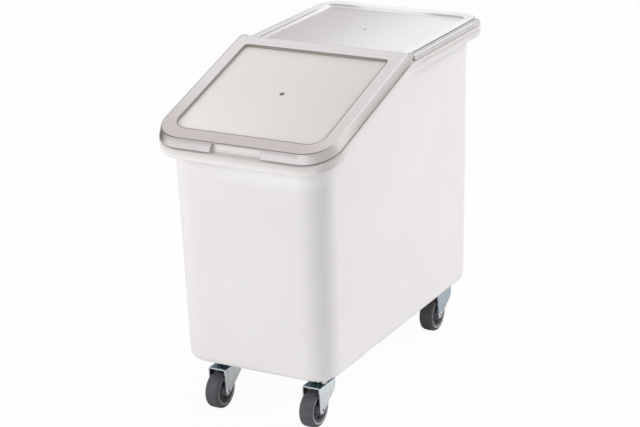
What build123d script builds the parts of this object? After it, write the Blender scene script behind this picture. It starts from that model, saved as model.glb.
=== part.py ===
from build123d import *
import os
from math import cos, radians, sin, tan

# Mobile ingredient bin: a tapered tub with a slanted front, a two-piece lid and four swivel casters.
# Units are millimetres. The origin is on the floor under the middle of the rim, +Z is up and the
# slanted front faces -Y. Heights named *_drop are measured straight down from the front lid's top plane.

# Overall size. The rounding of the front lid's upper edge leaves the bin a millimetre lower
total_height = 711.0
rim_width = 406.0
rim_depth = 746.0
rim_front_radius = 75.0
rim_rear_radius = 70.0

# The slanted front: the front lid's top plane falls forward from its upper edge
slope_angle = 17.4
slope_top_y = -7.0

# Tub
tub_bottom_inset_x = 34.0
tub_bottom_inset_y = 34.5
tub_draft_angle = 0.855
tub_corner_radius = 55.0
tub_inner_corner_radius = 47.0
tub_wall = 4.5
tub_floor = 5.0
tub_bottom_fillet = 16.0
tub_inner_fillet = 12.0
loft_margin = 10.0
cut_overlap = 1.0

# Rolled rim: a flat seat for the lids and a lower, wider band that stays in view below them
seat_inset = 12.5
rim_wall = 4.0
band_top_drop = 23.0
band_bottom_drop = 42.5
rear_seat_drop = 15.8
rear_band_top_drop = 24.0
rear_band_bottom_drop = 43.0
band_top_fillet = 5.0
band_bottom_fillet = 3.0
seat_edge_fillet = 2.0

# Front lid
lid_sheet = 3.0
lid_clearance = 0.36
lid_side_inset = 8.7
lid_front_inset = 7.0
lid_corner_radius = 61.0
lid_upper_corner_radius = 4.0
skirt_drop = 18.5
skirt_flare = 4.7
lid_edge_fillet = 2.4
panel_side_margin = 30.3
panel_front_margin = 32.5
panel_rear_margin = 32.5
panel_front_radius = 32.0
panel_rear_radius = 7.0
panel_depth = 5.6
notch_top_width = 108.0
notch_flare = 3.5
gate_radius = 3.0
gate_height = 0.6
gate_shift = 5.0

# Rear lid
border_drop = 8.6
border_rear_inset = 14.0
border_front_overlap = 8.0
border_corner_radius = 36.0
border_side_ring = 19.0
border_rear_ring = 27.0
border_panel_radius = 20.0
rear_panel_depth = 6.0
rear_panel_draft = 6.0
border_edge_fillet = 2.0
ledge_width = 10.0
ledge_front_overlap = 27.0
ledge_rear_inset = 8.8
rail_side_inset = 9.0
rail_start_gap = 25.0
rail_end_inset = 38.0
rail_flare = 0.5
rail_height = 7.3
rail_nose_radius = 6.0
bead_offset = 4.0
bead_width = 3.0
bead_height = 2.0
rear_skirt_width = 260.0

# Lid hinge: pegs on the front lid's ears turn in cheeks on the rear lid
hinge_setback = 10.0
hinge_drop = 9.0
hinge_radius = 3.0
hinge_running_clearance = 0.06
ear_radius = 6.0
ear_reach = 12.0
ear_thickness = 4.2
ear_gap = 2.6
cheek_inset = 5.0
cheek_thickness = 3.5
peg_end = 0.5

# Casters: wheel and fork
wheel_diameter = 76.2
wheel_width = 31.0
wheel_side_gap = 2.0
trail = 28.0
swivel_side_inset = 59.4
swivel_front_inset = 75.5
swivel_rear_inset = 53.5
caster_height = 103.5
fork_top_drop = 16.0
fork_sheet = 2.5
fork_tip_radius = 9.0
fork_back_reach = 28.5
fork_side_height = 21.5
fork_bend_radius = 3.0
fork_rear_blend = 14.0
tyre_thickness = 10.5
tyre_side_step = 1.8
tyre_crown_drop = 1.2
tyre_shoulder_radius = 7.0
tyre_lip_width = 1.4
hub_side_inset = 2.1
hub_rim_thickness = 2.6
hub_web_thickness = 4.0
hub_boss_radius = 10.0
hub_end_gap = 0.5
hub_running_clearance = 0.05
hub_rib_count = 6
hub_rib_thickness = 2.0
hub_rib_inset = 3.4
axle_radius = 4.0
axle_bore_radius = 2.2
axle_head_radius = 6.6
axle_head_height = 1.8
axle_head_fillet = 0.8
bushing_wall = 2.0
bushing_end_gap = 0.05

# Casters: plate, swivel bearing and fasteners
pad_height = 10.2
pad_margin = 2.0
pad_corner_radius = 8.0
pad_embed = 1.0
plate_size = 62.0
plate_corner_radius = 6.0
plate_thickness = 2.5
screw_pitch = 45.0
screw_radius = 3.0
screw_hole_clearance = 0.3
screw_grip = 10.5
screw_head_size = 5.6
screw_head_height = 4.0
screw_flange_radius = 6.5
screw_flange_height = 1.2
insert_wall = 1.6
insert_length = 12.0
insert_cap = 0.8
fit_clearance = 0.03
ball_diameter = 6.0
ball_pitch_radius = 15.0
ball_count = 10
ball_seat = 0.45
ball_running_clearance = 0.05
dish_margin = 6.0
dish_wall = 2.5
kingpin_radius = 5.0
kingpin_head_radius = 10.0
kingpin_head_height = 3.0
kingpin_rivet_radius = 8.0
kingpin_rivet_height = 2.4
swivel_running_clearance = 0.08
washer_radius = 13.0
washer_thickness = 1.6
washer_gap = 0.1

# Worked out for the tub
slope_rise = tan(radians(slope_angle))
slope_stretch = 1 / cos(radians(slope_angle))
rim_front_y = -rim_depth / 2
rim_rear_y = rim_depth / 2
wide_span = 2 * rim_depth
tub_underside = caster_height + pad_height
tub_bottom_width = rim_width - 2 * tub_bottom_inset_x
tub_bottom_depth = rim_depth - 2 * tub_bottom_inset_y
sheet_drop = lid_sheet * slope_stretch
seat_drop = sheet_drop + lid_clearance
rear_seat_height = total_height - rear_seat_drop
rear_band_top = total_height - rear_band_top_drop
rear_band_bottom = total_height - rear_band_bottom_drop

# Worked out for the lids
lid_top_width = rim_width - 2 * lid_side_inset
lid_front_y = rim_front_y + lid_front_inset
panel_width = lid_top_width - 2 * panel_side_margin
panel_front_y = lid_front_y + panel_front_margin
panel_rear_y = slope_top_y - panel_rear_margin
front_gate_y = (panel_front_y + panel_rear_y) / 2 + gate_shift
rail_outer_width = rim_width - 2 * rail_side_inset
rail_start_y = slope_top_y + rail_start_gap
rail_end_y = rim_rear_y - rail_end_inset
rail_bottom = rear_seat_height - rail_height
border_width = rail_outer_width - 2 * ledge_width
border_front_y = slope_top_y - border_front_overlap
border_rear_y = rim_rear_y - border_rear_inset
border_top = total_height - border_drop
ledge_front_y = slope_top_y - ledge_front_overlap
ledge_rear_y = rim_rear_y - ledge_rear_inset
ledge_under = rear_seat_height + lid_clearance
ledge_top = ledge_under + lid_sheet
rear_panel_z = border_top - rear_panel_depth
rear_gate_y = (border_front_y + border_rear_y) / 2 + gate_shift
hinge_y = slope_top_y + hinge_setback
hinge_z = total_height - hinge_drop
cheek_outer_x = rail_outer_width / 2 - cheek_inset
ear_inner_x = cheek_outer_x + ear_gap
peg_tip_x = cheek_outer_x - cheek_thickness - peg_end

# Worked out for the casters
axle_z = wheel_diameter / 2
plate_bottom = caster_height - plate_thickness
pad_size = plate_size + 2 * pad_margin
insert_radius = screw_radius + insert_wall
fork_top = caster_height - fork_top_drop
fork_under = fork_top - fork_sheet
fork_inner_width = wheel_width + 2 * wheel_side_gap
fork_outer_width = fork_inner_width + 2 * fork_sheet
fork_front_y = -trail - fork_tip_radius
fork_shoulder_z = fork_top - fork_side_height
ball_z = fork_top + ball_diameter / 2 - ball_seat
dish_radius = ball_pitch_radius + dish_margin
dish_under = ball_z + ball_diameter / 2 - ball_seat
dish_floor = dish_under + dish_wall
washer_under = fork_under - washer_gap - washer_thickness
bushing_radius = axle_radius + bushing_wall
hub_rim_radius = axle_z - tyre_thickness
swivel_x = tub_bottom_width / 2 - swivel_side_inset
front_swivel_y = -tub_bottom_depth / 2 + swivel_front_inset
rear_swivel_y = tub_bottom_depth / 2 - swivel_rear_inset
swivel_places = {
    "front_left": (-swivel_x, front_swivel_y),
    "front_right": (swivel_x, front_swivel_y),
    "rear_left": (-swivel_x, rear_swivel_y),
    "rear_right": (swivel_x, rear_swivel_y),
}


def slope_z(y, drop):
    """Height of a point that lies the given drop below the front lid's top plane."""
    return total_height + (y - slope_top_y) * slope_rise - drop


def slope_plane(drop):
    """The front lid's top plane lowered by a drop, with local Y running up the slope."""
    normal = (0, -sin(radians(slope_angle)), cos(radians(slope_angle)))
    return Plane(origin=(0, slope_top_y, total_height - drop), x_dir=(1, 0, 0), z_dir=normal)


def rounded_outline(plane, width, front_y, rear_y, front_radius, rear_radius):
    """A rectangle with one radius on its two front corners and another on its two rear ones."""
    with BuildSketch(plane) as outline:
        with Locations((0, (front_y + rear_y) / 2)):
            Rectangle(width, rear_y - front_y)
        fillet(outline.vertices().group_by(Axis.Y)[0], front_radius)
        fillet(outline.vertices().group_by(Axis.Y)[-1], rear_radius)
    return outline.sketch


def sloped_outline(drop, width, front_y, rear_y, front_radius, rear_radius):
    """The same outline on the lowered slope, from front and rear edges given along Y."""
    front = (front_y - slope_top_y) * slope_stretch
    rear = (rear_y - slope_top_y) * slope_stretch
    return rounded_outline(slope_plane(drop), width, front, rear, front_radius, rear_radius)


def under_roof(drop, rear_height, base):
    """All the space from a base height up to a roof that slopes in front and is level behind."""
    kink_y = slope_top_y + (rear_height + drop - total_height) / slope_rise
    with BuildPart() as block:
        with BuildSketch(Plane.YZ.offset(-wide_span / 2)):
            with BuildLine():
                Polyline(
                    (-rim_depth, base),
                    (rim_depth, base),
                    (rim_depth, rear_height),
                    (kink_y, rear_height),
                    (-rim_depth, slope_z(-rim_depth, drop)),
                    close=True,
                )
            make_face()
        extrude(amount=wide_span)
    return block.part


def rim_slice(inset, top, bottom):
    """The rim's outline, drawn in by an inset, between two roof lines given as (drop, rear height)."""
    base = tub_underside
    with BuildPart() as block:
        add(rounded_outline(Plane.XY.offset(base), rim_width - 2 * inset, rim_front_y + inset,
                            rim_rear_y - inset, rim_front_radius - inset, rim_rear_radius - inset))
        extrude(amount=total_height - base)
        add(under_roof(*top, base), mode=Mode.INTERSECT)
        add(under_roof(*bottom, base - cut_overlap), mode=Mode.SUBTRACT)
    return block.part


def tub_section(height, inset, corner_radius):
    """The drafted body's outline at a height, drawn in by an inset."""
    growth = 2 * (height - tub_underside) * tan(radians(tub_draft_angle)) - 2 * inset
    with BuildSketch(Plane.XY.offset(height)) as outline:
        RectangleRounded(tub_bottom_width + growth, tub_bottom_depth + growth, corner_radius)
    return outline.sketch


def tub_taper(base, inset, corner_radius):
    """The drafted body from a base height up to above the seat, drawn in by an inset."""
    top = total_height + loft_margin
    with BuildPart() as block:
        loft([tub_section(base, inset, corner_radius), tub_section(top, inset, corner_radius)], ruled=True)
    return block.part


seat_line = (seat_drop, rear_seat_height)
seat_under_line = (seat_drop + rim_wall, rear_seat_height - rim_wall)
band_top_line = (band_top_drop, rear_band_top)
band_under_line = (band_top_drop + rim_wall, rear_band_top - rim_wall)
band_bottom_line = (band_bottom_drop, rear_band_bottom)
band_floor_line = (band_bottom_drop + rim_wall, rear_band_bottom - rim_wall)

# Tub body up to the seat, with the rounded bottom edge
with BuildPart() as body:
    add(tub_taper(tub_underside, 0, tub_corner_radius))
    fillet(body.edges().group_by(Axis.Z)[0], tub_bottom_fillet)
    add(under_roof(*seat_line, tub_underside - cut_overlap), mode=Mode.INTERSECT)

# The room inside the tub
with BuildPart() as inside:
    add(tub_taper(tub_underside + tub_floor, tub_wall, tub_inner_corner_radius))
    fillet(inside.edges().group_by(Axis.Z)[0], tub_inner_fillet)


def outer_rim_edges(block, above):
    """Edges round a rim slice's top or bottom, without the one where the slope meets the level part."""
    facing = block.faces().filter_by(lambda face: (face.normal_at().Z > 0.5) == above)
    facing = facing.filter_by(lambda face: abs(face.normal_at().Z) > 0.5)
    return facing.edges().filter_by(lambda edge: abs(edge.center().X) + abs(edge.center().Y) > rim_width / 4)


# The lower band of the rim, rounded along its top and bottom edges
with BuildPart() as band:
    add(rim_slice(0, band_top_line, band_bottom_line))
    fillet(outer_rim_edges(band, True), band_top_fillet)
    fillet(outer_rim_edges(band, False), band_bottom_fillet)

# The seat that the lids rest on, rounded along its top edge
with BuildPart() as seat:
    add(rim_slice(seat_inset, seat_line, band_bottom_line))
    fillet(outer_rim_edges(seat, True), seat_edge_fillet)

# Tub with its rolled rim, which is open below, and a pad for each caster
with BuildPart() as tub:
    add(band.part)
    add(seat.part)
    add(rim_slice(rim_wall, band_under_line, band_floor_line), mode=Mode.SUBTRACT)
    add(rim_slice(seat_inset + rim_wall, seat_under_line, band_floor_line), mode=Mode.SUBTRACT)
    add(body.part)
    with BuildSketch(Plane.XY.offset(caster_height)):
        with Locations(*swivel_places.values()):
            RectangleRounded(pad_size, pad_size, pad_corner_radius)
    extrude(amount=tub_underside + pad_embed - caster_height)
    add(inside.part, mode=Mode.SUBTRACT)
    with BuildSketch(Plane.XY.offset(caster_height)):
        with Locations(*swivel_places.values()):
            with GridLocations(screw_pitch, screw_pitch, 2, 2):
                Circle(insert_radius + fit_clearance)
    extrude(amount=insert_length + fit_clearance, mode=Mode.SUBTRACT)
tub.part.label = "tub"
os.makedirs("parts", exist_ok=True)
export_step(tub.part, "parts/tub.step")


def lid_section(drop, inset, rear_y):
    """The front lid's outline at a drop: it flares out on the way down, and an inset draws it in."""
    flare = skirt_flare * drop / skirt_drop - inset
    return sloped_outline(drop, lid_top_width + 2 * flare, lid_front_y - flare, rear_y,
                          lid_corner_radius + flare, lid_upper_corner_radius)


def hinge_tab(x, thickness, reach, below):
    """An upright tab, round about the hinge axis, that reaches forward and down to what carries it."""
    with BuildPart() as tab:
        with BuildSketch(Plane.YZ.offset(x)):
            with Locations((hinge_y, hinge_z)):
                Circle(ear_radius)
            with Locations((hinge_y - reach / 2, hinge_z)):
                Rectangle(reach, 2 * ear_radius)
            with Locations((hinge_y, hinge_z - below / 2)):
                Rectangle(2 * ear_radius, below)
        extrude(amount=thickness)
    return tab.part


# Front lid: a sheet with a flared skirt on three sides, a sunk panel, a finger notch and hinge ears
notch_top_z = slope_z(lid_front_y, sheet_drop)
notch_bottom_z = slope_z(lid_front_y, skirt_drop + lid_sheet)
with BuildPart() as front_lid:
    loft([lid_section(skirt_drop, 0, slope_top_y), lid_section(0, 0, slope_top_y)], ruled=True)
    top_edges = front_lid.faces().filter_by(slope_plane(0)).sort_by(Axis.Z)[-1].edges()
    fillet(top_edges.sort_by(Axis.Y)[:-1], lid_edge_fillet)
    loft(
        [
            lid_section(skirt_drop + lid_sheet, lid_sheet, slope_top_y + lid_sheet),
            lid_section(sheet_drop, lid_sheet, slope_top_y + lid_sheet),
        ],
        ruled=True,
        mode=Mode.SUBTRACT,
    )
    add(sloped_outline(sheet_drop / 2, panel_width + 2 * lid_sheet, panel_front_y - lid_sheet,
                       panel_rear_y + lid_sheet, panel_front_radius + lid_sheet,
                       panel_rear_radius + lid_sheet))
    extrude(amount=-panel_depth - lid_sheet / 2)
    add(sloped_outline(0, panel_width, panel_front_y, panel_rear_y, panel_front_radius,
                       panel_rear_radius))
    extrude(amount=-panel_depth, mode=Mode.SUBTRACT)
    with BuildSketch(slope_plane(panel_depth * slope_stretch)):
        with Locations((0, (front_gate_y - slope_top_y) * slope_stretch)):
            Circle(gate_radius)
    extrude(amount=gate_height)
    with BuildSketch(Plane.XZ.offset(-lid_front_y - lid_sheet)):
        with BuildLine():
            Polyline(
                (-notch_top_width / 2, notch_top_z),
                (notch_top_width / 2, notch_top_z),
                (notch_top_width / 2 + notch_flare, notch_bottom_z),
                (-notch_top_width / 2 - notch_flare, notch_bottom_z),
                close=True,
            )
        make_face()
    extrude(amount=2 * skirt_flare, mode=Mode.SUBTRACT)
    for side in (-1, 1):
        inner_x = side * ear_inner_x
        add(hinge_tab(inner_x, side * ear_thickness, ear_reach, ear_radius))
        with BuildSketch(Plane.YZ.offset(inner_x)):
            with Locations((hinge_y, hinge_z)):
                Circle(hinge_radius)
        extrude(amount=side * (peg_tip_x - ear_inner_x))
front_lid.part.label = "front_lid"
export_step(front_lid.part, "parts/front_lid.step")

# Rear lid: a raised border round a sunk panel, with a ledge, a bead and a skirt along each side
rail_length = rail_end_y - rail_start_y
rail_middle_y = (rail_end_y + rail_start_y) / 2


def rear_panel_section(height, outset, draft):
    """The rear panel's outline at a height, drawn in by its draft and out by an outset."""
    radius = border_panel_radius + outset - draft
    return rounded_outline(Plane.XY.offset(height), border_width - 2 * (border_side_ring + draft - outset),
                           border_front_y + border_side_ring + draft - outset,
                           border_rear_y - border_rear_ring - draft + outset,
                           lid_upper_corner_radius + outset, radius)


with BuildPart() as rear_lid:
    add(rounded_outline(Plane.XY.offset(ledge_under), border_width, ledge_front_y, ledge_rear_y,
                        lid_upper_corner_radius, border_corner_radius))
    with BuildSketch(Plane.XY.offset(ledge_under)):
        with Locations((0, (ledge_front_y + rail_start_y) / 2)):
            Rectangle(2 * cheek_outer_x, rail_start_y - ledge_front_y)
        with Locations((0, rail_middle_y)):
            Rectangle(rail_outer_width, rail_length)
    extrude(amount=lid_sheet)
    add(rounded_outline(Plane.XY.offset(ledge_under), border_width, border_front_y, border_rear_y,
                        lid_upper_corner_radius, border_corner_radius))
    extrude(amount=border_top - ledge_under)
    fillet(rear_lid.faces().sort_by(Axis.Z)[-1].edges(), border_edge_fillet)
    add(rounded_outline(Plane.XY.offset(ledge_under), border_width - 2 * lid_sheet,
                        border_front_y + lid_sheet, border_rear_y - lid_sheet,
                        lid_upper_corner_radius, border_corner_radius - lid_sheet))
    extrude(amount=border_top - lid_sheet - ledge_under, mode=Mode.SUBTRACT)
    loft(
        [
            rear_panel_section(rear_panel_z - lid_sheet, lid_sheet, rear_panel_draft),
            rear_panel_section(border_top - lid_sheet / 2, lid_sheet, 0),
        ],
        ruled=True,
    )
    loft(
        [
            rear_panel_section(rear_panel_z, 0, rear_panel_draft),
            rear_panel_section(border_top, 0, 0),
        ],
        ruled=True,
        mode=Mode.SUBTRACT,
    )
    with BuildSketch(Plane.XY.offset(rear_panel_z)):
        with Locations((0, rear_gate_y)):
            Circle(gate_radius)
    extrude(amount=gate_height)
    with BuildSketch(Plane.XY.offset(ledge_top)):
        for side in (-1, 1):
            with Locations((side * (border_width / 2 + bead_offset), rail_middle_y)):
                Rectangle(bead_width, rail_length)
    extrude(amount=bead_height)
    with BuildSketch(Plane.XY.offset(ledge_under)):
        with Locations((0, ledge_rear_y - lid_sheet / 2)):
            Rectangle(rear_skirt_width, lid_sheet)
    extrude(amount=rail_bottom - ledge_under)
    for side in (-1, 1):
        edge_x = side * rail_outer_width / 2
        foot_x = edge_x + side * rail_flare
        with BuildSketch(Plane.XZ.offset(-rail_start_y)):
            with BuildLine():
                Polyline(
                    (edge_x, ledge_top),
                    (foot_x, rail_bottom),
                    (foot_x - side * lid_sheet, rail_bottom),
                    (edge_x - side * lid_sheet, ledge_top),
                    close=True,
                )
            make_face()
        extrude(amount=-rail_length)
        nose = rear_lid.edges().filter_by(Axis.X).group_by(Axis.Z)[0].group_by(Axis.Y)[0]
        fillet(nose.group_by(Axis.X)[0 if side < 0 else -1], rail_nose_radius)
        add(hinge_tab(side * cheek_outer_x, -side * cheek_thickness, 0, hinge_z - ledge_under))
    with BuildSketch(Plane.YZ.offset(-cheek_outer_x)):
        with Locations((hinge_y, hinge_z)):
            Circle(hinge_radius + hinge_running_clearance)
    extrude(amount=2 * cheek_outer_x, mode=Mode.SUBTRACT)
rear_lid.part.label = "rear_lid"
export_step(rear_lid.part, "parts/rear_lid.step")


# Casters: each piece is drawn once with its swivel axis on Z, then set in its four places

# Mounting plate with the pressed dish that holds the balls and the kingpin's head
with BuildPart() as caster_plate:
    with BuildSketch(Plane.XY.offset(plate_bottom)):
        RectangleRounded(plate_size, plate_size, plate_corner_radius)
        with GridLocations(screw_pitch, screw_pitch, 2, 2):
            Circle(screw_radius + screw_hole_clearance, mode=Mode.SUBTRACT)
    extrude(amount=plate_thickness)
    with BuildSketch(Plane.XY.offset(dish_under)):
        Circle(dish_radius)
    extrude(amount=caster_height - dish_under)
    dish_edge = caster_plate.edges().filter_by(GeomType.CIRCLE).group_by(Axis.Z)[0]
    fillet(dish_edge, dish_wall / 2)
    with BuildSketch(Plane.XY.offset(dish_floor)):
        Circle(dish_radius - dish_wall)
    extrude(amount=caster_height - dish_floor, mode=Mode.SUBTRACT)
    with BuildSketch(Plane.XY.offset(dish_under)):
        Circle(kingpin_radius + fit_clearance)
    extrude(amount=dish_wall, mode=Mode.SUBTRACT)
    with BuildSketch(Plane.XZ):
        with Locations((ball_pitch_radius, ball_z)):
            Circle(ball_diameter / 2 + fit_clearance)
    revolve(axis=Axis.Z, mode=Mode.SUBTRACT)

# Ring of bearing balls between the dish and the fork
with BuildPart() as caster_balls:
    with Locations(Plane.XY.offset(ball_z)):
        with PolarLocations(ball_pitch_radius, ball_count):
            Sphere(ball_diameter / 2)

# Kingpin: a headed pin, riveted over a washer below the fork
with BuildPart() as caster_kingpin:
    with BuildSketch(Plane.XZ):
        with BuildLine():
            Polyline(
                (0, dish_floor + kingpin_head_height),
                (kingpin_head_radius, dish_floor + kingpin_head_height),
                (kingpin_head_radius, dish_floor),
                (kingpin_radius, dish_floor),
                (kingpin_radius, washer_under),
                (kingpin_rivet_radius, washer_under),
                (kingpin_rivet_radius, washer_under - kingpin_rivet_height / 2),
                (kingpin_radius, washer_under - kingpin_rivet_height),
                (0, washer_under - kingpin_rivet_height),
                close=True,
            )
        make_face()
    revolve(axis=Axis.Z)

# Thrust washer between the fork and the riveted end
with BuildPart() as caster_washer:
    with BuildSketch(Plane.XY.offset(washer_under)):
        Circle(washer_radius)
        Circle(kingpin_radius + fit_clearance, mode=Mode.SUBTRACT)
    extrude(amount=washer_thickness)

# Four hexagon flange screws that hold the plate
with BuildPart() as caster_screws:
    with BuildSketch(Plane.XY.offset(plate_bottom)):
        with GridLocations(screw_pitch, screw_pitch, 2, 2):
            Circle(screw_flange_radius)
    extrude(amount=-screw_flange_height)
    with BuildSketch(Plane.XY.offset(plate_bottom - screw_flange_height)):
        with GridLocations(screw_pitch, screw_pitch, 2, 2):
            RegularPolygon(screw_head_size, side_count=6)
    extrude(amount=-screw_head_height)
    with BuildSketch(Plane.XY.offset(plate_bottom)):
        with GridLocations(screw_pitch, screw_pitch, 2, 2):
            Circle(screw_radius)
    extrude(amount=screw_grip + plate_thickness)

# Blind threaded inserts moulded into the tub's pad, each with a locking groove
with BuildPart() as caster_inserts:
    with BuildSketch(Plane.XY.offset(caster_height)):
        with GridLocations(screw_pitch, screw_pitch, 2, 2):
            Circle(insert_radius)
    extrude(amount=insert_length)
    with BuildSketch(Plane.XY.offset(caster_height)):
        with GridLocations(screw_pitch, screw_pitch, 2, 2):
            Circle(screw_radius + fit_clearance)
    extrude(amount=insert_length - insert_cap, mode=Mode.SUBTRACT)

# Fork: a sheet bent down into two legs that taper to a round end at the axle
with BuildPart() as caster_fork:
    with BuildSketch(Plane.YZ.offset(-fork_outer_width / 2)):
        with Locations((-trail, axle_z)):
            Circle(fork_tip_radius)
        with Locations(((fork_front_y + fork_back_reach) / 2, (fork_top + fork_shoulder_z) / 2)):
            Rectangle(fork_back_reach - fork_front_y, fork_top - fork_shoulder_z)
        make_hull()
    extrude(amount=fork_outer_width)
    rear_corner = caster_fork.edges().filter_by(Axis.X).group_by(Axis.Y)[-1].sort_by(Axis.Z)[0]
    fillet(rear_corner, fork_rear_blend)
    fillet(caster_fork.edges().filter_by(Axis.Y).group_by(Axis.Z)[-1], fork_bend_radius)
    with BuildSketch(Plane.XZ.offset(-fork_back_reach)):
        with Locations((0, fork_under / 2)):
            Rectangle(fork_inner_width, fork_under)
    extrude(amount=fork_back_reach - fork_front_y, mode=Mode.SUBTRACT)
    with BuildSketch(Plane.XY.offset(fork_under)):
        Circle(kingpin_radius + swivel_running_clearance)
    extrude(amount=fork_sheet, mode=Mode.SUBTRACT)
    with BuildSketch(Plane.XZ):
        with Locations((ball_pitch_radius, ball_z)):
            Circle(ball_diameter / 2 + ball_running_clearance)
    revolve(axis=Axis.Z, mode=Mode.SUBTRACT)
    with BuildSketch(Plane.YZ.offset(-fork_outer_width / 2)):
        with Locations((-trail, axle_z)):
            Circle(axle_radius + fit_clearance)
    extrude(amount=fork_outer_width, mode=Mode.SUBTRACT)

# Axle: a hollow rivet with a rolled head at each end
axle_place = Plane(origin=(0, -trail, axle_z), x_dir=(0, 1, 0), z_dir=(1, 0, 0))
axle_length = fork_outer_width + 2 * axle_head_height
with BuildPart() as caster_axle:
    with BuildSketch(axle_place.offset(-axle_length / 2)):
        Circle(axle_radius)
    extrude(amount=axle_length)
    for head_start in (-axle_length / 2, fork_outer_width / 2):
        with BuildSketch(axle_place.offset(head_start)):
            Circle(axle_head_radius)
        extrude(amount=axle_head_height)
    head_rims = caster_axle.edges().filter_by(GeomType.CIRCLE).group_by(Axis.X)
    fillet(head_rims[0] + head_rims[-1], axle_head_fillet)
    with BuildSketch(axle_place.offset(-axle_length / 2)):
        Circle(axle_bore_radius)
    extrude(amount=axle_length, mode=Mode.SUBTRACT)

# Bushing between the fork's legs, which the wheel turns on
bushing_length = fork_inner_width - 2 * bushing_end_gap
with BuildPart() as caster_bushing:
    with BuildSketch(axle_place.offset(-bushing_length / 2)):
        Circle(bushing_radius)
        Circle(axle_radius + fit_clearance, mode=Mode.SUBTRACT)
    extrude(amount=bushing_length)

# Wheel hub: a boss and a rim joined by a thin web, with ribs on both sides
hub_length = fork_inner_width - 2 * hub_end_gap
rib_reach = hub_rim_radius - hub_rim_thickness / 2
hub_rim_half_width = wheel_width / 2 - hub_side_inset
hub_rib_half_depth = hub_rim_half_width - hub_rib_inset
with BuildPart() as caster_hub:
    with BuildSketch(axle_place.offset(-hub_rim_half_width)):
        Circle(hub_rim_radius)
        Circle(hub_rim_radius - hub_rim_thickness, mode=Mode.SUBTRACT)
    extrude(amount=2 * hub_rim_half_width)
    with BuildSketch(axle_place.offset(-hub_web_thickness / 2)):
        Circle(rib_reach)
    extrude(amount=hub_web_thickness)
    with BuildSketch(axle_place.offset(-hub_rib_half_depth)):
        with PolarLocations(rib_reach / 2, hub_rib_count):
            Rectangle(rib_reach, hub_rib_thickness)
    extrude(amount=2 * hub_rib_half_depth)
    with BuildSketch(axle_place.offset(-hub_length / 2)):
        Circle(hub_boss_radius)
    extrude(amount=hub_length)
    with BuildSketch(axle_place.offset(-hub_length / 2)):
        Circle(bushing_radius + hub_running_clearance)
    extrude(amount=hub_length, mode=Mode.SUBTRACT)

# Tyre: a crowned tread with round shoulders, held on the hub's rim
tyre_edge_x = wheel_width / 2
tyre_edge_z = wheel_diameter - tyre_crown_drop
tyre_side_z = axle_z + hub_rim_radius + tyre_side_step
tyre_seat_z = axle_z + hub_rim_radius
with BuildPart() as caster_tyre:
    with BuildSketch(Plane.XZ.offset(trail)) as tyre_profile:
        with BuildLine():
            ThreePointArc((-tyre_edge_x, tyre_edge_z), (0, wheel_diameter), (tyre_edge_x, tyre_edge_z))
            Polyline(
                (tyre_edge_x, tyre_edge_z),
                (tyre_edge_x, tyre_side_z),
                (tyre_edge_x - tyre_lip_width, tyre_seat_z),
                (tyre_lip_width - tyre_edge_x, tyre_seat_z),
                (-tyre_edge_x, tyre_side_z),
                (-tyre_edge_x, tyre_edge_z),
            )
        make_face()
        fillet(tyre_profile.vertices().group_by(Axis.Y)[-1], tyre_shoulder_radius)
    revolve(axis=Axis((0, -trail, axle_z), (1, 0, 0)))

caster_pieces = {
    "plate": caster_plate.part,
    "screws": caster_screws.part,
    "inserts": caster_inserts.part,
    "balls": caster_balls.part,
    "kingpin": caster_kingpin.part,
    "thrust_washer": caster_washer.part,
    "fork": caster_fork.part,
    "axle": caster_axle.part,
    "bushing": caster_bushing.part,
    "hub": caster_hub.part,
    "tyre": caster_tyre.part,
}
for corner, (corner_x, corner_y) in swivel_places.items():
    for piece_name, piece in caster_pieces.items():
        placed = Pos(corner_x, corner_y, 0) * piece
        placed.label = f"{corner}_{piece_name}"
        export_step(placed, f"parts/{corner}_{piece_name}.step")
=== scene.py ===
import bpy
from math import cos, radians, sin, tan
from mathutils import Matrix, Vector
from types import SimpleNamespace


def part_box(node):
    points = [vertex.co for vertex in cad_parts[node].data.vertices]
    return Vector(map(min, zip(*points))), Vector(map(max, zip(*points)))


# The mobile ingredient bin dressed for its studio picture. Everything is in metres, in the frame of the part.

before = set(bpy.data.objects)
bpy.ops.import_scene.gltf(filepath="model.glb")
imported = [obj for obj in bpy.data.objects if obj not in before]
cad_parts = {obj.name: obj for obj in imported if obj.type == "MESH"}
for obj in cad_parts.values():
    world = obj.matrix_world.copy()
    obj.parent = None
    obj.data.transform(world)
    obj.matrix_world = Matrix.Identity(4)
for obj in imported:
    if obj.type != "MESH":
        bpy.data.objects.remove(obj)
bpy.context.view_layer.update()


def middle_of(node):
    """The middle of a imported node's box."""
    low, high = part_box(node)
    return (low + high) / 2


def inset(outline, wall):
    """A rounded outline moved inwards all round, with its rear corners tightened to match."""
    return dict(
        outline,
        half_width=outline["half_width"] - wall,
        front=outline["front"] + wall,
        rear=outline["rear"] - wall,
        rear_radius=outline["rear_radius"] - wall,
    )


# Camera: the view that fits the picture's straight edges
SENSOR_WIDTH = 36.0
LENS = 115.1
CAMERA_AZIMUTH = 29.154
CAMERA_ELEVATION = 19.512
CAMERA_ROLL = -1.83
CAMERA_PLACE = Vector((1.9500, -3.53905, 1.77397))
CAMERA_REACH = 100.0

# The slanted lid's top plane: its angle, and the place of its upper edge
SLOPE = radians(17.4)
SLOPE_TOP_Y = -0.007
SLOPE_TOP_Z = 0.711

# The lids' sunk panels seen from above. The rear one's walls lean in as they go down.
FRONT_PANEL = dict(half_width=0.164, front=-0.3335, rear=-0.0395, front_radius=0.032, rear_radius=0.007)
REAR_PANEL = dict(half_width=0.165, front=0.004, rear=0.332, front_radius=0.004, rear_radius=0.020)
REAR_WALL_LEAN = 0.006
REAR_PANEL_FLOOR = inset(REAR_PANEL, REAR_WALL_LEAN)

# Half the stretch, midway along an outline, where its corner radius changes from the front's to the rear's
RADIUS_CHANGE = 0.01

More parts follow.
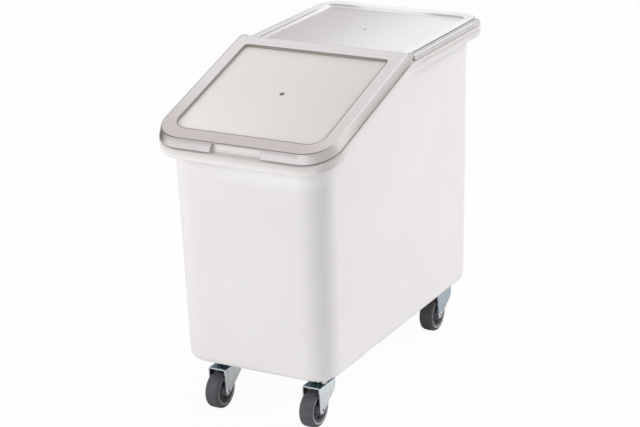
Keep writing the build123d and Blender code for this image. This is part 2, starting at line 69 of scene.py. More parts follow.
# The mould gates in the panels, along X and Y, with the radius of their marks and how soft they are
FRONT_GATE = (0.0, -0.1815)
REAR_GATE = (0.0, 0.177)
GATE_RADIUS = 0.0052
GATE_BLUR = 0.0004

# The casters: the axles, half the gap between a fork's legs, its crown's underside, and rings about the axle
# for the painted shade in the rivet and the painted highlight on the tyre
FRONT_AXLE = middle_of("front_left_axle")
REAR_AXLE = middle_of("rear_left_axle")
FORK_INSIDE = 0.0177
CROWN_UNDERSIDE = 0.0848
RIVET_HOLE_RADIUS = 0.0027
TYRE_RING = (0.0282, 0.0304)
RING_BLUR = 0.0003

# The tub's stretches of painted light and painted shade. A drop is measured straight down from the slanted
# lid's top plane.
SEAT_DROP = 0.008
SEAM_DROPS = (0.0185, 0.031)
RIM_CORNER_DROPS = (0.016, 0.048)
RIM_BOTTOM_DROP = 0.041
UNDER_SIDE_DROPS = (0.043, 0.056)
UNDER_FRONT_DROPS = (0.045, 0.085)
UNDER_FRONT_X = (-0.10, 0.09)
SIDE_RIM_HEIGHTS = (0.676, 0.687)
FRONT_END_Y = -0.30

# The front lid's stretches, across it, along it and down its skirt, over which its painted light and shade
# change
SLOPE_SPAN_Y = (-0.36, -0.14)
RIGHT_BORDER_X = (0.12, 0.19)
RIGHT_BORDER_Y = (-0.37, -0.30)
PANEL_SPAN_X = (-0.15, 0.16)
SKIRT_SPAN_X = (-0.15, 0.12)
SKIRT_TOP_DROPS = (0.0015, 0.011)
SKIRT_HEM_DROPS = (0.003, 0.015)
SIDE_DROPS = (0.004, 0.017)
SIDE_FRONT_Y = (-0.32, -0.20)
RIGHT_EDGE_X = 0.1908
LEFT_EDGE_X = -0.1914

# Bands round the front panel, by their distance outside its outline, and the height of the painted dark line
# along it
EDGE_STRIP_START = 0.015
PANEL_WALL_END = 0.003
PANEL_LINE = (-0.0004, 0.0022)
PANEL_LINE_DROPS = (-0.001, 0.0006)

# The rear lid's stretches, across it, along it and in height, over which its painted light and shade change
LEFT_BORDER_X = (-0.17, -0.06)
LEFT_BORDER_END_Y = (0.15, 0.32)
RIGHT_END_X = (0.05, 0.15)
RIGHT_END_Y = 0.30
REAR_PANEL_SPAN_X = (-0.17, 0.19)
LEFT_WALL_SPAN_Y = (0.0, 0.33)
RAIL_HEM_HEIGHTS = (0.6898, 0.6908)
FAR_WALL_HEIGHTS = (0.6975, 0.7005)
LEDGE_HEIGHT = 0.6978
GROOVE_HEIGHT = 0.6988
BORDER_HEIGHT = 0.7014
REAR_LINE_END_Y = 0.27

# The painted shade on the far wall leaves out its middle, which keeps the border's colour: where it lies, and
# half its width
FAR_WALL_MIDDLE_X = -0.01
FAR_WALL_HALF_WIDTH = 0.085

# Bands round the rear panel, by their distance outside its outline, or outside its floor's for the foot
WALL_TOP = 0.0004
WALL_FOOT = -0.0002
BORDER_STRIP = (0.001, 0.006)
REAR_LINE = (-0.0010, 0.0018)
SIDE_START = 0.01
GROOVE_START = 0.0175

# Light: the surround's level, and a dark flag on the left. The reach is the cosine from which the flag is
# full, and its level is the share of light that it leaves.
AMBIENT = 0.56
FLAG_DIRECTION = (-0.94, 0.34, 0.0)
FLAG_REACH = 0.8
FLAG_LEVEL = 0.2

# Soft lights, each with its place, its width and height, and its power, all aimed at one point
AIM = (0.0, 0.0, 0.4)
SOFTBOXES = {
    "left_key": ((-2.0, -2.75, 1.2), (1.8, 2.0), 51.0),
    "right_key": ((4.0, 4.3, 3.1), (2.6, 2.6), 200.0),
    "top_fill": ((0.0, 0.4, 3.2), (2.0, 3.0), 18.0),
}

# Stage
FLOOR_SIZE = 14.0
FLOOR_SHADOW = 0.05
PAPER = (0.92, 0.92, 0.92)
PURE_WHITE = (1.0, 1.0, 1.0, 1.0)

# Noise: the middle span of its values, and its stretch along the axes, even or in streaks along Z
NOISE_SPAN = (0.3, 0.7)
EVEN = (1.0, 1.0, 1.0)
UPRIGHT_STREAKS = (1.0, 1.0, 0.2)

# Metal: the share of its colour that a dull grain keeps, and how far its roughness goes down and up
DULL_SHARE = 0.92
SMOOTHER = 0.06
ROUGHER = 0.1

# The Mix node's sockets for colours
FIRST_COLOR = 6
SECOND_COLOR = 7
MIXED_COLOR = 2

# Colours in linear numbers, each named by the stretch of surface that it is for. Many stand for painted light
# and shade, as the comments at them say.
TUB = SimpleNamespace(
    wall=(0.825, 0.803, 0.795),
    paler_wall=(0.845, 0.824, 0.817),
    # painted light: the wall under the rim, front and side, made paler where the rim's shade falls
    painted_light_under_front_rim=(0.94, 0.925, 0.92),
    painted_light_under_side_rim=(0.94, 0.92, 0.91),
    # painted shade on the rear side rims, darkest just under the rear lid's rail, where its shadow falls
    low_side_rim_shade=(0.76, 0.745, 0.738),
    rail_shadow_on_side_rim=(0.58, 0.56, 0.555),
    # painted shade on the rim band at the front right corner
    rim_corner_shade=(0.70, 0.68, 0.67),
    # painted shade on the tub just under the lid's skirt and on its top where the skirt covers it
    seam=(0.66, 0.63, 0.615),
)
FRONT_LID = SimpleNamespace(
    # painted light and shade: the border darker down the slope with a middle tone at its right edge, the
    # panel darker to the right and up the slope
    low_border=(0.63, 0.565, 0.545),
    high_border=(0.80, 0.765, 0.77),
    right_border=(0.765, 0.715, 0.71),
    left_panel=(0.91, 0.88, 0.845),
    right_panel=(0.82, 0.765, 0.735),
    high_panel=(0.71, 0.675, 0.655),
    # painted shade on the sunk panel's walls
    panel_wall_shade=(0.31, 0.275, 0.25),
    # painted light and shade on the skirt: darker to the left and at its top, paler toward its hem, a painted
    # highlight where it turns right, painted shade round the near corner and near-black painted shade at the
    # left corner
    left_skirt=(0.61, 0.57, 0.565),
    right_skirt=(0.74, 0.705, 0.71),
    lit_skirt_hem=(0.72, 0.70, 0.695),
    skirt_top_shade=(0.36, 0.34, 0.33),
    skirt_bend_highlight=(0.82, 0.79, 0.795),
    skirt_corner_shade=(0.61, 0.575, 0.55),
    left_corner_shade=(0.08, 0.07, 0.065),
    # painted shade on the skirt's right side, darker toward its hem and paler toward the front
    side_top=(0.61, 0.59, 0.595),
    shaded_side_hem=(0.48, 0.45, 0.43),
    side_front=(0.84, 0.81, 0.79),
    # a painted highlight along the right top edge
    painted_edge_highlight=(0.97, 0.965, 0.965),
    # painted shade: dark lines along the panel's edge and the lid's front and left top edges
    painted_dark_line=(0.14, 0.11, 0.10),
    gate=(0.15, 0.12, 0.11),
)
REAR_LID = SimpleNamespace(
    border=(0.96, 0.955, 0.955),
    # painted shade: the border darker toward the left, with a paler strip by the panel, paler toward its rear
    # and greyer at its rear right end, and the panel darker toward the left
    left_border=(0.70, 0.695, 0.69),
    left_border_strip=(0.90, 0.89, 0.89),
    left_border_end=(0.84, 0.83, 0.83),
    right_border_end=(0.85, 0.845, 0.845),
    left_panel=(0.56, 0.52, 0.53),
    right_panel=(0.93, 0.92, 0.935),
    # painted light and shade on the panel's left wall, darker at its front and paler toward its rear
    left_wall_front=(0.69, 0.665, 0.675),
    left_wall_rear=(0.88, 0.86, 0.87),
    # painted shade on the far wall, darker toward its top
    far_wall_foot=(0.84, 0.83, 0.82),
    far_wall_top=(0.54, 0.525, 0.515),
    # painted shade and a painted highlight line on the side rails: grey below the ledge, pale above it
    low_side=(0.57, 0.55, 0.555),
    high_side=(0.86, 0.85, 0.855),
    rail_hem_highlight=(0.74, 0.72, 0.72),
    # painted shade: dark lines round the panel's left and front and in the groove beside the rails
    painted_dark_line=(0.22, 0.20, 0.20),
    gate=(0.48, 0.45, 0.45),
)
FORK = SimpleNamespace(
    front_legs=(0.84, 0.89, 0.91),
    # painted shade on the rear pair of forks
    shaded_rear_legs=(0.46, 0.54, 0.59),
    # painted shade between a fork's legs, under the crown
    inside=(0.24, 0.26, 0.28),
    # a painted reflection of the bin's dark underside on faces that look up
    crown=(0.13, 0.22, 0.27),
)
TYRE = SimpleNamespace(
    dark=(0.070, 0.067, 0.076),
    light=(0.096, 0.092, 0.103),
    # painted shade on the rear wheels
    rear=(0.035, 0.034, 0.034),
    # a painted highlight round the tyre's inner edge
    ring=(0.50, 0.485, 0.50),
)
METAL = SimpleNamespace(
    zinc=(0.62, 0.64, 0.64),
    rivet=(0.80, 0.82, 0.84),
    # painted shade in the rivet's hole
    rivet_hole_shade=(0.02, 0.02, 0.022),
    screw=(0.72, 0.72, 0.70),
    polished=(0.7, 0.7, 0.7),
    brass=(0.72, 0.55, 0.28),
)
HUB = (0.19, 0.185, 0.205)


class Graph:
    """A node tree with short ways to add and join its nodes."""

    def __init__(self, tree):
        self.tree = tree

    def node(self, kind, **settings):
        """A new node, with values for its sockets or its settings."""
        made = self.tree.nodes.new(kind)
        for key, value in settings.items():
            if key in made.inputs:
                made.inputs[key].default_value = value
            else:
                setattr(made, key, value)
        return made

    def link(self, source, target):
        self.tree.links.new(source, target)

    def mix_shaders(self, factor, first, second, target):
        """Leads a mix of two shaders to a target. Where the factor is 1, the second shows alone."""
        mix = self.node("ShaderNodeMixShader")
        self.link(factor.socket, mix.inputs[0])
        self.link(first.outputs[0], mix.inputs[1])
        self.link(second.outputs[0], mix.inputs[2])
        self.link(mix.outputs[0], target)


class Field:
    """A number that varies over a surface or the sky, built from math nodes."""

    def __init__(self, graph, socket):
        self.graph = graph
        self.socket = socket

    def math(self, operation, *others):
        node = self.graph.node("ShaderNodeMath", operation=operation)
        for index, value in enumerate((self, *others)):
            if isinstance(value, Field):
                self.graph.link(value.socket, node.inputs[index])
            else:
                node.inputs[index].default_value = value
        return Field(self.graph, node.outputs[0])

    def __add__(self, other):
        return self.math("ADD", other)

    def __sub__(self, other):
        return self.math("SUBTRACT", other)

    def __mul__(self, other):
        return self.math("MULTIPLY", other)

    def __abs__(self):
        return self.math("ABSOLUTE")

    def squared(self):
        return self.math("POWER", 2.0)

    def least(self, other):
        return self.math("MINIMUM", other)

    def most(self, other):
        return self.math("MAXIMUM", other)

    def ramp(self, start, end, low=0.0, high=1.0, interpolation="SMOOTHSTEP"):
        """The value mapped from one range to another, and held beyond its ends."""
        node = self.graph.node("ShaderNodeMapRange", interpolation_type=interpolation)
        for name, value in (("From Min", start), ("From Max", end), ("To Min", low), ("To Max", high)):
            node.inputs[name].default_value = value
        self.graph.link(self.socket, node.inputs["Value"])
        return Field(self.graph, node.outputs["Result"])

    def above(self, edge, blur):
        return self.ramp(edge - blur, edge + blur)

    def below(self, edge, blur):
        return self.ramp(edge - blur, edge + blur, 1.0, 0.0)

    def band(self, start, end, blur):
        return self.above(start, blur) * self.below(end, blur)


class Shader(Graph):
    """One material around a Principled shader. Its pattern stays on its piece, in the part's own metres."""

    def __init__(self, name, **inputs):
        self.material = bpy.data.materials.new(name)
        self.material.use_nodes = True
        super().__init__(self.material.node_tree)
        self.principled = self.tree.nodes["Principled BSDF"]
        self.place = self.node("ShaderNodeTexCoord")
        for socket, value in inputs.items():
            self.principled.inputs[socket.replace("_", " ")].default_value = value

    def axes(self, output):
        """The three numbers of the object's own place or normal."""
        split = self.node("ShaderNodeSeparateXYZ")
        self.link(self.place.outputs[output], split.inputs[0])
        return [Field(self, socket) for socket in split.outputs]

    def noise(self, scale, detail=3.0, stretch=EVEN):
        """Noise that stays on the piece, drawn out along an axis by a small stretch value."""
        mapping = self.node("ShaderNodeMapping", Scale=stretch)
        self.link(self.place.outputs["Object"], mapping.inputs["Vector"])
        texture = self.node("ShaderNodeTexNoise", Scale=scale, Detail=detail)
        self.link(mapping.outputs["Vector"], texture.inputs["Vector"])
        return Field(self, texture.outputs["Fac"])

    def feed(self, target, color):
        """Gives a socket a colour: three numbers, or another node's output."""
        if isinstance(color, tuple):
            target.default_value = (*color, 1.0)
        else:
            self.link(color, target)

    def blend(self, factor, first, second):
        """One colour laid over another by a factor."""
        mix = self.node("ShaderNodeMix", data_type="RGBA")
        self.link(factor.socket, mix.inputs["Factor"])
        self.feed(mix.inputs[FIRST_COLOR], first)
        self.feed(mix.inputs[SECOND_COLOR], second)
        return mix.outputs[MIXED_COLOR]

    def layers(self, color, *coats):
        """A colour with coats laid over it in turn, each given by its factor and its colour."""
        for factor, coat in coats:
            color = self.blend(factor, color, coat)
        return color

    def color(self, color):
        self.feed(self.principled.inputs["Base Color"], color)

    def vary_roughness(self, noise, low, high):
        self.link(noise.ramp(*NOISE_SPAN, low, high).socket, self.principled.inputs["Roughness"])

    def bump(self, height, distance):
        bump = self.node("ShaderNodeBump", Strength=1.0, Distance=distance)
        self.link(height.socket, bump.inputs["Height"])
        self.link(bump.outputs["Normal"], self.principled.inputs["Normal"])


def below_slope(y, z):
    """Distance straight down from the slanted lid's top plane."""
    return (y - SLOPE_TOP_Y) * tan(SLOPE) + SLOPE_TOP_Z - z


def outside(x, y, half_width, front, rear, front_radius, rear_radius):
    """Distance outside the outline of a rounded rectangle, negative inside it."""
    middle = (front + rear) / 2
    radius = y.ramp(middle - RADIUS_CHANGE, middle + RADIUS_CHANGE, front_radius, rear_radius)
    over_x = abs(x) - half_width + radius
    over_y = abs(y - middle) - (rear - front) / 2 + radius
    corner = (over_x.most(0.0).squared() + over_y.most(0.0).squared()).math("SQRT")
    return corner + over_x.most(over_y).least(0.0) - radius


def gate_mark(x, y, place):
    """One on the round mark of a mould gate, and nothing outside it."""
    reach = (x - place[0]).squared() + (y - place[1]).squared()
    return reach.math("SQRT").below(GATE_RADIUS, GATE_BLUR)


def wheel_radius(shader):
    """Distance from the axle line of the nearer pair of wheels."""
    _, y, z = shader.axes("Object")
    along = abs(y - FRONT_AXLE.y).least(abs(y - REAR_AXLE.y))
    return (along.squared() + (z - FRONT_AXLE.z).squared()).math("SQRT")


def white_polyethylene():
    """Moulded white plastic, with painted light under the rim and painted shade on its rear side rims, at its
    near corner and along its top under the lid's skirt.
    """
    shader = Shader(
        "white_polyethylene",
        Specular_IOR_Level=0.0,
        Subsurface_Weight=0.1,
        Subsurface_Radius=(0.006, 0.006, 0.0055),
        Subsurface_Scale=1.0,
    )
    x, y, z = shader.axes("Object")
    turn_x, turn_y, _ = shader.axes("Normal")
    drop = below_slope(y.least(SLOPE_TOP_Y), z)
    facing_front = turn_y.below(-0.4, blur=0.3)
    facing_right = turn_x.above(0.5, blur=0.2)
    facing_sideways = abs(turn_x).above(0.6, blur=0.3)
    facing_corner = turn_x.band(0.58, 0.95, blur=0.13)
    rear_half = y.above(0.0, blur=0.05)
    front_end = y.below(FRONT_END_Y, blur=0.02)

    mottle = shader.noise(scale=6.0, detail=4.0).ramp(*NOISE_SPAN)
    # Painted light: the wall under the rim is made paler where the rim's shade falls, more so to the right on
    # the front.
    rightward = x.ramp(*UNDER_FRONT_X, low=0.25, high=1.0)
    painted_light_under_front_rim = drop.band(*UNDER_FRONT_DROPS, blur=0.02) * facing_front * rightward
    painted_light_under_side_rim = drop.band(*UNDER_SIDE_DROPS, blur=0.006) * facing_right * 0.6
    # Painted shade on the rear side rims, darkest just under the rear lid's rail, where its shadow falls.
    shaded_side_rim = drop.below(RIM_BOTTOM_DROP, blur=0.004) * facing_sideways * rear_half
    shaded_side_rim_color = shader.blend(z.ramp(*SIDE_RIM_HEIGHTS), TUB.low_side_rim_shade, TUB.rail_shadow_on_side_rim)
    # Painted shade on the rim band at the front right corner.
    rim_corner_shade = drop.band(*RIM_CORNER_DROPS, blur=0.006) * facing_corner * front_end * 0.9
    # Painted shade on the tub just under the lid's skirt, lighter on faces that turn right, and on its top
    # under the skirt.
    seam = drop.band(*SEAM_DROPS, blur=0.006) * turn_x.ramp(0.1, 0.7, low=0.65, high=0.25)
    seat_shade = drop.below(SEAT_DROP, blur=0.004) * 0.8
    shader.color(shader.layers(
        shader.blend(mottle, TUB.wall, TUB.paler_wall),
        (painted_light_under_front_rim, TUB.painted_light_under_front_rim),
        (painted_light_under_side_rim, TUB.painted_light_under_side_rim),
        (shaded_side_rim, shaded_side_rim_color),
        (rim_corner_shade, TUB.rim_corner_shade),
        (seam.most(seat_shade), TUB.seam),
    ))
    shader.vary_roughness(shader.noise(scale=35.0), low=0.46, high=0.56)
    shader.bump(shader.noise(scale=900.0, detail=2.0), distance=0.00006)
    return shader.material


def front_lid_polycarbonate():
    """Smoky clear plastic: a frosted panel and a glossy border, with painted light and shade across both and
    over the skirt, a painted highlight on the right top edge and painted dark lines along other edges.
    """
    shader = Shader("smoky_polycarbonate", IOR=1.5)
    x, y, z = shader.axes("Object")
    turn_x, turn_y, turn_z = shader.axes("Normal")
    drop = below_slope(y, z)
    facing = turn_z * cos(SLOPE) - turn_y * sin(SLOPE)
    panel = outside(x, y, **FRONT_PANEL)

    # Painted light and shade: the border darker down the slope with a middle tone at its right edge, and the
    # panel darker to the right and up the slope.
    up_slope = y.ramp(*SLOPE_SPAN_Y)
    right_border = x.ramp(*RIGHT_BORDER_X) * y.ramp(*RIGHT_BORDER_Y, low=0.3, high=0.8)
    border = shader.layers(
        shader.blend(up_slope, FRONT_LID.low_border, FRONT_LID.high_border),
        (right_border, FRONT_LID.right_border),
    )
    sunk = shader.layers(
        shader.blend(x.ramp(*PANEL_SPAN_X), FRONT_LID.left_panel, FRONT_LID.right_panel),
        (up_slope * 0.35, FRONT_LID.high_panel),
    )
    # Painted shade on the skirt's right side, darker toward its hem and paler toward the front.
    side = shader.layers(
        shader.blend(drop.ramp(*SIDE_DROPS), FRONT_LID.side_top, FRONT_LID.shaded_side_hem),
        (y.ramp(*SIDE_FRONT_Y, low=0.75, high=0.0), FRONT_LID.side_front),
    )
    # Painted light and shade on the skirt: darker to the left and at its top, paler toward its hem, a painted
    # highlight where it turns to the right side, painted shade round the near corner and near-black painted
    # shade at the left corner.
    lit_skirt_hem = drop.ramp(*SKIRT_HEM_DROPS) * 0.3
    skirt_top_shade = drop.ramp(*SKIRT_TOP_DROPS, low=0.6, high=0.0)
    skirt_bend_highlight = turn_x.above(0.06, blur=0.06) * turn_x.below(0.34, blur=0.16) * 0.8
    skirt_corner_shade = turn_x.ramp(0.20, 0.66)
    facing_right = turn_x.above(0.93, blur=0.06)
    left_corner_shade = turn_x.ramp(-0.22, -0.66) * turn_y.below(-0.2, blur=0.1)
    skirt = shader.layers(
        shader.blend(x.ramp(*SKIRT_SPAN_X), FRONT_LID.left_skirt, FRONT_LID.right_skirt),
        (lit_skirt_hem, FRONT_LID.lit_skirt_hem),
        (skirt_top_shade, FRONT_LID.skirt_top_shade),
        (skirt_bend_highlight, FRONT_LID.skirt_bend_highlight),
        (skirt_corner_shade, FRONT_LID.skirt_corner_shade),
        (facing_right, side),
        (left_corner_shade, FRONT_LID.left_corner_shade),
    )

    upright = facing.below(0.72, blur=0.12)
    edge_strip = panel.above(EDGE_STRIP_START, blur=0.002)
    # Painted shade on the sunk panel's walls.
    panel_wall_shade = upright * panel.below(PANEL_WALL_END, blur=0.001)
    # A painted highlight along the right top edge.
    painted_edge_highlight = x.above(RIGHT_EDGE_X, blur=0.0004) * facing.above(0.58, blur=0.06)
    # Painted shade: dark lines along the panel's edge, the lid's front and left top edges and its left edge.
    painted_panel_line = drop.band(*PANEL_LINE_DROPS, blur=0.0002) * panel.band(*PANEL_LINE, blur=0.0004) * 0.85
    painted_rim_line = facing.band(0.60, 0.965, blur=0.03) * edge_strip * turn_x.below(0.5, blur=0.2)
    painted_left_line = x.below(LEFT_EDGE_X, blur=0.0003) * facing.above(0.6, blur=0.1) * 0.75
    shader.color(shader.layers(
        shader.blend(panel.below(0.0, blur=0.0006), border, sunk),
        (upright * edge_strip, skirt),
        (panel_wall_shade, FRONT_LID.panel_wall_shade),
        (painted_edge_highlight, FRONT_LID.painted_edge_highlight),
        (painted_panel_line.most(painted_rim_line).most(painted_left_line) * 0.9, FRONT_LID.painted_dark_line),
        (gate_mark(x, y, FRONT_GATE), FRONT_LID.gate),
    ))
    shader.vary_roughness(shader.noise(scale=30.0), low=0.16, high=0.22)
    shader.bump(shader.noise(scale=18.0, detail=1.0), distance=0.0001)
    return shader.material


def rear_lid_polycarbonate():
    """Clear plastic: a frosted panel and a pale border, with painted shade that lightens to the right,
    painted light and shade on the recess walls, painted shade and a painted highlight line on the rails, and
    painted dark lines.
    """
    shader = Shader("clear_polycarbonate", IOR=1.5, Specular_IOR_Level=0.35)
    x, y, z = shader.axes("Object")
    turn_x, turn_y, turn_z = shader.axes("Normal")
    panel = outside(x, y, **REAR_PANEL)
    panel_floor = outside(x, y, **REAR_PANEL_FLOOR)

    # Painted shade: the border darker toward the left, with a paler strip by the panel, paler toward its rear
    # and greyer at its rear right end, and the panel darker toward the left.
    border_strip = panel.band(*BORDER_STRIP, blur=0.001)
    left_border = shader.layers(
        shader.blend(border_strip, REAR_LID.left_border, REAR_LID.left_border_strip),
        (y.ramp(*LEFT_BORDER_END_Y), REAR_LID.left_border_end),
    )
    right_end = x.ramp(*RIGHT_END_X) * y.above(RIGHT_END_Y, blur=0.02)
    border = shader.layers(
        shader.blend(x.ramp(*LEFT_BORDER_X), left_border, REAR_LID.border),
        (right_end, REAR_LID.right_border_end),
    )
    sunk = shader.blend(x.ramp(*REAR_PANEL_SPAN_X), REAR_LID.left_panel, REAR_LID.right_panel)
    # Painted light and shade on the panel's left wall, darker at its front and paler toward its rear.
    rearward = y.ramp(*LEFT_WALL_SPAN_Y)
    left_wall_shade_color = shader.blend(rearward, REAR_LID.left_wall_front, REAR_LID.left_wall_rear)
    # Painted shade on the far wall, darker toward its top.
    far_wall_shade_color = shader.blend(z.ramp(*FAR_WALL_HEIGHTS), REAR_LID.far_wall_foot, REAR_LID.far_wall_top)
    # Painted shade and a painted highlight line on the side rails: grey below the ledge, pale above it, with
    # a light line near the hem.
    side_color = shader.layers(
        shader.blend(z.above(LEDGE_HEIGHT, blur=0.0006), REAR_LID.low_side, REAR_LID.high_side),
        (z.band(*RAIL_HEM_HEIGHTS, blur=0.0004) * 0.8, REAR_LID.rail_hem_highlight),
    )

    side = turn_z.below(0.5, blur=0.2) * panel.above(SIDE_START, blur=0.002)
    walls = panel.below(WALL_TOP, blur=0.0004) * panel_floor.above(WALL_FOOT, blur=0.0004)
    left_wall = walls * turn_x.above(0.3, blur=0.1)
    # The far wall's painted shade covers its ends only.
    off_middle = abs(x - FAR_WALL_MIDDLE_X).above(FAR_WALL_HALF_WIDTH, blur=0.025)
    far_wall_shade = walls * turn_y.below(-0.3, blur=0.1) * off_middle
    # Painted shade: dark lines round the panel's left and front and in the groove beside the rails.
    left_front = x.below(0.0, blur=0.05) * y.below(REAR_LINE_END_Y, blur=0.03)
    painted_panel_line = z.above(BORDER_HEIGHT, blur=0.0003) * panel.band(*REAR_LINE, blur=0.0003) * left_front
    groove_shade = panel.above(GROOVE_START, blur=0.0005) * z.above(GROOVE_HEIGHT, blur=0.0002)
    groove_shade = groove_shade * turn_z.below(0.8, blur=0.1)
    shader.color(shader.layers(
        shader.blend(panel_floor.below(0.0, blur=0.0006), border, sunk),
        (side, side_color),
        (left_wall, left_wall_shade_color),
        (far_wall_shade, far_wall_shade_color),
        (painted_panel_line.most(groove_shade) * 0.9, REAR_LID.painted_dark_line),
        (gate_mark(x, y, REAR_GATE), REAR_LID.gate),
    ))
    shader.vary_roughness(shader.noise(scale=30.0), low=0.28, high=0.34)
    shader.bump(shader.noise(scale=18.0, detail=1.0), distance=0.0001)
    return shader.material


def metal_shader(name, roughness, stretch=EVEN):
    """Metal with a fine scatter in its gloss, still without its colour."""
    shader = Shader(name, Metallic=1.0)
    patches = shader.noise(scale=260.0, detail=4.0, stretch=stretch)
    shader.vary_roughness(patches, low=roughness - SMOOTHER, high=roughness + ROUGHER)
    shader.bump(shader.noise(scale=1400.0, detail=2.0, stretch=stretch), distance=0.00001)
    return shader


def grained(shader, color, stretch=EVEN):
    """A metal's colour with duller grains in it."""
    dull = tuple(DULL_SHARE * value for value in color)
    grain = shader.noise(scale=80.0, detail=4.0, stretch=stretch).ramp(*NOISE_SPAN)
    return shader.blend(grain, dull, color)


def plain_metal(name, color, roughness):
    """Plated or polished metal of one colour."""
    shader = metal_shader(name, roughness)
    shader.color(grained(shader, color))
    return shader.material


def fork_steel():
    """Zinc-plated sheet: bright front legs, with painted shade on the rear pair and between the legs, and a
    painted dark blue reflection on faces that look up.
    """
    shader = metal_shader("blue_zinc_steel", roughness=0.26, stretch=UPRIGHT_STREAKS)
    x, y, z = shader.axes("Object")
    turn_z = shader.axes("Normal")[2]
    # Painted shade between a fork's legs, under the crown.
    shade_between_legs = abs(abs(x) - abs(FRONT_AXLE.x)).below(FORK_INSIDE, blur=0.0004)
    under_crown = z.below(CROWN_UNDERSIDE, blur=0.0005)
    shader.color(shader.layers(
        grained(shader, FORK.front_legs, UPRIGHT_STREAKS),
        # painted shade on the rear pair of forks
        (y.above(0.0, blur=0.1), FORK.shaded_rear_legs),
        (shade_between_legs * under_crown, FORK.inside),
        # a painted reflection of the bin's dark underside on faces that look up
        (turn_z.above(0.4, blur=0.25), FORK.crown),
    ))
    return shader.material


def rivet_zinc():
    """Bright zinc with painted shade in and round the hole of the hollow rivet."""
    shader = metal_shader("rivet_zinc", roughness=0.3)
    # Painted shade in and round the rivet's hole.
    hole = wheel_radius(shader).below(RIVET_HOLE_RADIUS, RING_BLUR)
    shader.color(shader.layers(grained(shader, METAL.rivet), (hole, METAL.rivet_hole_shade)))
    return shader.material


def grey_rubber():
    """Grey rubber, with painted shade on the rear wheels and a painted highlight round the tyre's inner edge
    where it meets the hub.
    """
    shader = Shader("grey_rubber")
    mottle = shader.noise(scale=90.0, detail=5.0).ramp(*NOISE_SPAN)
    # Painted shade on the rear wheels.
    shaded_rear_pair = shader.axes("Object")[1].above(0.0, blur=0.1) * 0.6
    # A painted highlight round the tyre's inner edge.
    ring = wheel_radius(shader).band(*TYRE_RING, RING_BLUR)
    shader.color(shader.layers(
        shader.blend(mottle, TYRE.dark, TYRE.light),
        (shaded_rear_pair, TYRE.rear),
        (ring, TYRE.ring),
    ))
    shader.vary_roughness(shader.noise(scale=220.0), low=0.42, high=0.6)
    shader.bump(shader.noise(scale=1600.0, detail=3.0), distance=0.00008)
    return shader.material


def hub_nylon():
    """Dark grey nylon with a fine grain."""
    shader = Shader("hub_nylon")
    shader.color(HUB)
    shader.vary_roughness(shader.noise(scale=180.0), low=0.32, high=0.46)
    shader.bump(shader.noise(scale=1200.0, detail=2.0), distance=0.00003)
    return shader.material


def dress(material, *endings):
    """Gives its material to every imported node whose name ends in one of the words."""
    for name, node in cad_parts.items():
        if name.endswith(endings):
            node.data.materials.clear()
            node.data.materials.append(material)


def dress_the_part():
    """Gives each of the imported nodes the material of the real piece."""
    dress(white_polyethylene(), "tub")
    dress(front_lid_polycarbonate(), "front_lid")
    dress(rear_lid_polycarbonate(), "rear_lid")
    dress(plain_metal("zinc_steel", METAL.zinc, roughness=0.32), "_plate", "_kingpin", "_washer")
    dress(fork_steel(), "_fork")
    dress(rivet_zinc(), "_axle")
    dress(plain_metal("bright_zinc", METAL.screw, roughness=0.3), "_screws")
    dress(plain_metal("polished_steel", METAL.polished, roughness=0.14), "_balls", "_bushing")
    dress(plain_metal("insert_brass", METAL.brass, roughness=0.3), "_inserts")
    dress(hub_nylon(), "_hub")
    dress(grey_rubber(), "_tyre")


def floor():
    """Paper that lights the part as paper does, and that the camera sees as white with a faint shadow."""
    mesh = bpy.data.meshes.new("floor")
    half = FLOOR_SIZE / 2
    corners = [(-half, -half, 0), (half, -half, 0), (half, half, 0), (-half, half, 0)]
    mesh.from_pydata(corners, [], [(0, 1, 2, 3)])
    sheet = bpy.data.objects.new("floor", mesh)
    bpy.context.scene.collection.objects.link(sheet)
    paper = Shader("floor_paper", Roughness=0.9, Specular_IOR_Level=0.0)
    paper.color(PAPER)
    white = paper.node("ShaderNodeEmission", Color=PURE_WHITE, Strength=1.0)
    rays = paper.node("ShaderNodeLightPath")
    seen = Field(paper, rays.outputs["Is Camera Ray"]) * (1.0 - FLOOR_SHADOW)
    surface = paper.tree.nodes["Material Output"].inputs["Surface"]
    paper.mix_shaders(seen, paper.principled, white, surface)
    sheet.data.materials.append(paper.material)


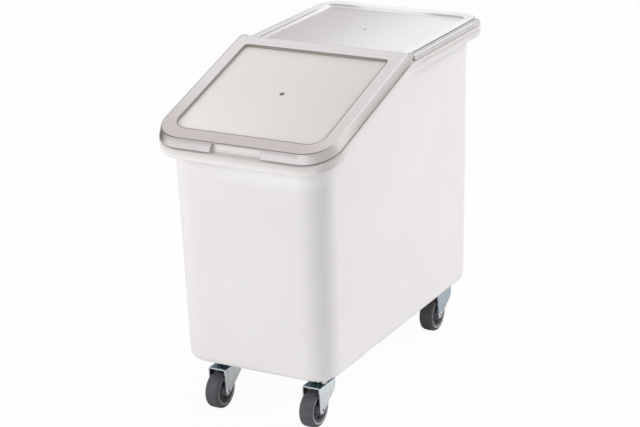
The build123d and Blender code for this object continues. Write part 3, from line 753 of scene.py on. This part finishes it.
def backdrop_world():
    """A soft white surround: plain light on the object, dimmer from the left where a dark flag stands.

    The camera, gloss and clear pieces see it white.
    """
    world = bpy.data.worlds.new("studio")
    bpy.context.scene.world = world
    world.use_nodes = True
    sky = Graph(world.node_tree)
    sky.tree.nodes.clear()
    output = sky.node("ShaderNodeOutputWorld")
    direction = sky.node("ShaderNodeTexCoord")
    toward_flag = sky.node("ShaderNodeVectorMath", operation="DOT_PRODUCT")
    toward_flag.inputs[1].default_value = FLAG_DIRECTION
    sky.link(direction.outputs["Generated"], toward_flag.inputs[0])
    nearness = Field(sky, toward_flag.outputs["Value"])
    level = nearness.ramp(0.0, FLAG_REACH, AMBIENT, FLAG_LEVEL * AMBIENT, interpolation="LINEAR")
    light = sky.node("ShaderNodeBackground", Color=PURE_WHITE)
    sky.link(level.socket, light.inputs["Strength"])
    white = sky.node("ShaderNodeBackground", Color=PURE_WHITE, Strength=1.0)
    rays = sky.node("ShaderNodeLightPath")
    seen, mirrored, seen_through = [
        Field(sky, rays.outputs[kind]) for kind in ("Is Camera Ray", "Is Glossy Ray", "Is Transmission Ray")
    ]
    sky.mix_shaders(seen.most(mirrored).most(seen_through), light, white, output.inputs["Surface"])


def softbox(name, place, size, power):
    """A soft light without a mirror image, which would bleach the glossy lids from some sides."""
    lamp = bpy.data.lights.new(name, "AREA")
    lamp.shape = "RECTANGLE"
    lamp.size, lamp.size_y = size
    lamp.energy = power
    rig = bpy.data.objects.new(name, lamp)
    bpy.context.scene.collection.objects.link(rig)
    rig.location = place
    rig.rotation_mode = "QUATERNION"
    rig.rotation_quaternion = (Vector(AIM) - Vector(place)).to_track_quat("-Z", "Y")
    rig.visible_glossy = False


def studio():
    """The white surround, the floor and the soft lights."""
    backdrop_world()
    floor()
    for name, (place, size, power) in SOFTBOXES.items():
        softbox(name, place, size, power)


def camera():
    """The picture's own view, from its place, its angles and its lens."""
    azimuth = radians(CAMERA_AZIMUTH)
    elevation = radians(CAMERA_ELEVATION)
    roll = radians(CAMERA_ROLL)
    back = Vector((sin(azimuth) * cos(elevation), -cos(azimuth) * cos(elevation), sin(elevation)))
    level_right = Vector((cos(azimuth), sin(azimuth), 0.0))
    level_up = back.cross(level_right)
    right = level_right * cos(roll) + level_up * sin(roll)
    up = level_up * cos(roll) - level_right * sin(roll)
    data = bpy.data.cameras.new("camera")
    data.sensor_fit = "HORIZONTAL"
    data.sensor_width = SENSOR_WIDTH
    data.lens = LENS
    data.clip_end = CAMERA_REACH
    eye = bpy.data.objects.new("camera", data)
    bpy.context.scene.collection.objects.link(eye)
    turn = Matrix((right, up, back)).transposed()
    eye.matrix_world = Matrix.Translation(CAMERA_PLACE) @ turn.to_4x4()
    bpy.context.scene.camera = eye


dress_the_part()
studio()
camera()
bpy.context.scene.view_settings.view_transform = "Standard"
